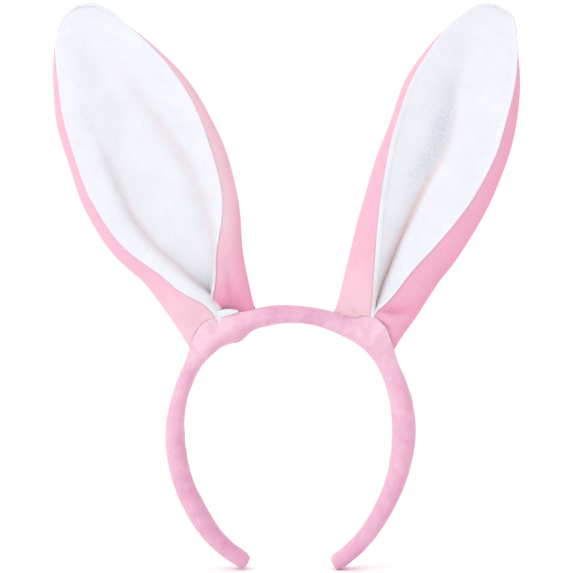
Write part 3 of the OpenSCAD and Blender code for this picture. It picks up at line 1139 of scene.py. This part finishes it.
def brushed(name, colour, deep, sheen, nap, nap_and_shade_tone=None, tints=()):
    """Brushed napped cloth: short fibres along the cloth, soft patches and a fine grain, with painted shade
    from the mesh's attributes mixed in where given.
    """
    mat, shader = new_material(name)
    uv = add(mat, "ShaderNodeUVMap", uv_map="cloth").outputs["UV"]
    patches = noise(mat, uv, 0.06, 3, 0.5)
    blotch = noise(mat, uv, 0.32, 4, 0.6, (1.2, 0.8, 1))
    grain = noise(mat, uv, 0.9, 5, 0.65, (1.6, 0.7, 1))
    fibre = noise(mat, uv, 2.6, 6, 0.7, (1.8, 0.35, 1))
    if nap_and_shade_tone is None:
        base = ramp(mat, patches, [(0.3, shade_of(colour, 0.97)), (0.7, shade_of(colour, 1.02))])
    else:
        # Towards the darker tone by the painted shade attribute
        base = mix(mat, "MIX", attribute(mat, "nap_and_painted_shade"), colour, nap_and_shade_tone)
        large = ramp(mat, patches, [(0.3, (0.97, 0.97, 0.97)), (0.7, (1, 1, 1))])
        base = mix(mat, "MULTIPLY", 1.0, base, large)
    layers = ((blotch, 0.34, 0.6, 0.16), (grain, 0.3, 0.62, 0.30), (fibre, 0.35, 0.6, 0.22))
    for source, low, high, share in layers:
        darker = ramp(mat, source, [(low, deep), (high, (1, 1, 1))])
        base = mix(mat, "MULTIPLY", share, base, darker)
    # Painted shade in the lining's creases: each tint's colour multiplied in through a mottle
    for word, colour_of, low in tints:
        shade_mottle = noise(mat, uv, 0.5, 5, 0.75)
        spread = ramp(mat, shade_mottle, [(0.34, (low, low, low)), (0.62, (1, 1, 1))])
        base = mix(mat, "MULTIPLY", times(mat, attribute(mat, word), spread), base, colour_of)
    link(mat, base, shader.inputs["Base Color"])
    set_inputs(shader, Roughness=0.92, Specular_IOR_Level=0.15)
    set_inputs(shader, Sheen_Weight=sheen, Sheen_Roughness=0.45, Sheen_Tint=(1.0, 0.9, 0.95, 1))
    bumps(mat, shader, [(blotch, nap * 0.6, 0.0008), (grain, nap, 0.0005), (fibre, nap * 0.8, 0.00022)])
    return mat


def plain(name, colour, rough, scale, bump, metallic=0.0):
    """Moulded, foamed, twisted or drawn stuff with a little unevenness."""
    mat, shader = new_material(name)
    place_in = add(mat, "ShaderNodeTexCoord").outputs["Object"]
    grain = noise(mat, place_in, scale, 4, 0.6)
    base = ramp(mat, grain, [(0.3, shade_of(colour, 0.86)), (0.7, shade_of(colour, 1.05))])
    link(mat, base, shader.inputs["Base Color"])
    worn = ramp(mat, grain, [(0.3, (rough - 0.08,) * 3), (0.7, (min(1.0, rough + 0.06),) * 3)])
    link(mat, worn, shader.inputs["Roughness"])
    set_inputs(shader, Metallic=metallic)
    bumps(mat, shader, [(grain, bump, 0.0002)])
    return mat


def make_materials():
    band_speck = (0.86, 0.62, 0.72)
    pink_speck = (0.93, 0.74, 0.80)
    white_speck = (0.9, 0.9, 0.93)
    # Colours of the painted shade in the lining's creases, cool and warm, and the least share of each in its
    # mottle
    tints = [("cool_shade", (0.76, 0.76, 0.83), 0.25), ("warm_shade", (0.93, 0.73, 0.70), 0.8)]
    return {
        "band_plush": brushed("band_plush_nap", TONES["band"], band_speck, 0.35, 0.5, TONES["band_deep"]),
        "ear_pink": brushed("ear_pink_nap", TONES["ear_pink"], pink_speck, 0.3, 0.3, TONES["ear_deep"]),
        "ear_white": brushed("ear_white_nap", TONES["ear_white"], white_speck, 0.25, 0.35, None, tints),
        "interlining": plain("interlining_felt", TONES["interlining"], 0.9, 900, 0.4),
        "foam": plain("foam_pad", TONES["foam"], 0.95, 1400, 0.5),
        "core_plastic": plain("core_moulded", (0.42, 0.43, 0.45), 0.45, 300, 0.1),
        "rim_wire": plain("wire_drawn", (0.62, 0.62, 0.64), 0.35, 800, 0.1, 1.0),
        "thread": plain("thread_twist", TONES["thread"], 0.7, 2200, 0.5),
        "thread_white": plain("thread_white_twist", TONES["thread_white"], 0.7, 2200, 0.5),
    }


def paint(obj, mat):
    obj.data.materials.clear()
    obj.data.materials.append(mat)


# ---- Put together ----


def dress_band(obj, side, material, kind):
    """Paints a piece of the band, bakes its placement into its mesh and puts it in place of the CAD's pieces.
    """
    paint(obj, material)
    arm_blend(obj)
    if side < 0:
        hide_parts("left_arm_" + kind)
        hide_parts("crown_" + kind)
    else:
        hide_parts("right_arm_" + kind)


def make_band(materials):
    for word, side in (("left", -1), ("right", 1)):
        outer = facing(band_surface(side, 0.0, ARM_END + 0.3, RING), side)
        inner = facing(band_surface(side, COVER_T, ARM_END - 1.0, RING), side)
        cover = tube_solid("band_sleeve_" + word, outer, inner)
        # The sleeve's painted shade and random nap streaks, for its material
        set_value(cover, "nap_and_painted_shade", sleeve_nap_and_painted_shade(cover))
        dress_band(cover, side, materials["band_plush"], "cover")
        pad_out = facing(band_surface(side, COVER_T + 0.15, ARM_END - 1.2, PAD_RING), side)
        pad_in = facing(core_hollow(side, PAD_RING), side)
        pad = tube_solid("band_padding_" + word, pad_out, pad_in)
        dress_band(pad, side, materials["foam"], "foam")
        seam = threads("band_seam_" + word, seam_stitches(side), RADIUS["seam"], 6)
        dress_band(seam, side, materials["thread"], "cover_seam")
        tip = threads(word + "_arm_tip_stitches", tip_stitches(side), RADIUS["tip"], 8)
        paint(tip, materials["thread"])
        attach(tip, word + "_arm")
        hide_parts(word + "_arm_end_stitch")


def make_ear(name, ear, materials):
    node = name + "_ear_"
    outer = make_outer_panel(name, ear)
    middle = make_interlining(name, ear)
    lining = make_lining(name, ear)
    wire = threads(node + "wire", [rim_wire_path(ear)], RADIUS["wire"], 10)
    seam = threads(node + "rim_stitches", rim_stitch_paths(ear), RADIUS["rim"], 6)
    tacks = threads(node + "foot_tacks", tack_paths(ear), RADIUS["tack"], 8)
    pieces = [
        (outer, "outer_panel", "ear_pink"),
        (middle, "interlining", "interlining"),
        (lining, "lining", "ear_white"),
        (wire, "rim_wire", "rim_wire"),
        (seam, "rim_seam", "thread_white"),
        (tacks, "tack_stitches", "thread"),
    ]
    for obj, node_end, look in pieces:
        paint(obj, materials[look])
        ear_blend(obj)
        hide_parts(node + node_end)
    if name == "left":
        tail = tail_leaf(ear)
        paint(tail, materials["ear_white"])
        for word in ("cool_shade", "warm_shade"):
            set_value(tail, word, np.zeros(len(tail.data.vertices)))
        ear_blend(tail)


def make_stage():
    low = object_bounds()[0][2] - 0.0002
    mesh = bpy.data.meshes.new("floor")
    corners = [(-6, -6, low), (6, -6, low), (6, 6, low), (-6, 6, low)]
    mesh.from_pydata(corners, [], [(0, 1, 2, 3)])
    floor = new_object("floor", mesh)
    material, shader = new_material("floor_white")
    set_inputs(shader, Base_Color=(0.99, 0.99, 0.99, 1), Roughness=1.0, Specular_IOR_Level=0.0)
    paint(floor, material)


def make_lamp():
    data = bpy.data.lights.new("key", "AREA")
    data.shape = "SQUARE"
    data.size = 0.7
    data.energy = 4.5
    data.color = (1, 0.99, 0.98)
    lamp = new_object("key", data)
    lamp.location = (-1.1, -1.0, 1.1)
    aim = Vector((0, 0, 0.08)) - lamp.location
    lamp.rotation_euler = aim.to_track_quat("-Z", "Y").to_euler()


def make_light():
    """A white room that is brighter on the left and above, and one soft lamp at the upper left."""
    world = bpy.data.worlds.new("white_room")
    world.use_nodes = True
    background = world.node_tree.nodes["Background"]
    background.inputs["Color"].default_value = (1, 1, 1, 1)
    towards = add(world, "ShaderNodeTexCoord").outputs["Generated"]
    slope = add(world, "ShaderNodeVectorMath", operation="DOT_PRODUCT")
    slope.inputs[1].default_value = (-0.16, 0.0, 0.10)
    link(world, towards, slope.inputs[0])
    level = add(world, "ShaderNodeMath", operation="ADD")
    level.inputs[1].default_value = 1.06
    link(world, slope.outputs["Value"], level.inputs[0])
    link(world, level.outputs["Value"], background.inputs["Strength"])
    bpy.context.scene.world = world
    make_lamp()
    view = bpy.context.scene.view_settings
    view.view_transform = "Standard"
    view.look = "None"
    view.exposure = 0.0
    view.gamma = 1.0


def make_camera():
    data = bpy.data.cameras.new("photo_view")
    data.sensor_width = 36
    data.lens = 100
    distance = SEEN_WIDTH * data.lens / data.sensor_width
    camera = new_object("photo_view", data)
    camera.location = (LOOK_AT[0], -distance, LOOK_AT[1])
    camera.rotation_euler = (math.pi / 2, 0, 0)
    data.clip_start = 0.05
    data.clip_end = 30
    bpy.context.scene.camera = camera


def main():
    materials = make_materials()
    make_band(materials)
    for name, ear in EARS.items():
        make_ear(name, ear, materials)
    for node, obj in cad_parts.items():
        if node.endswith("_core"):
            paint(obj, materials["core_plastic"])
    make_stage()
    make_light()
    make_camera()


main()
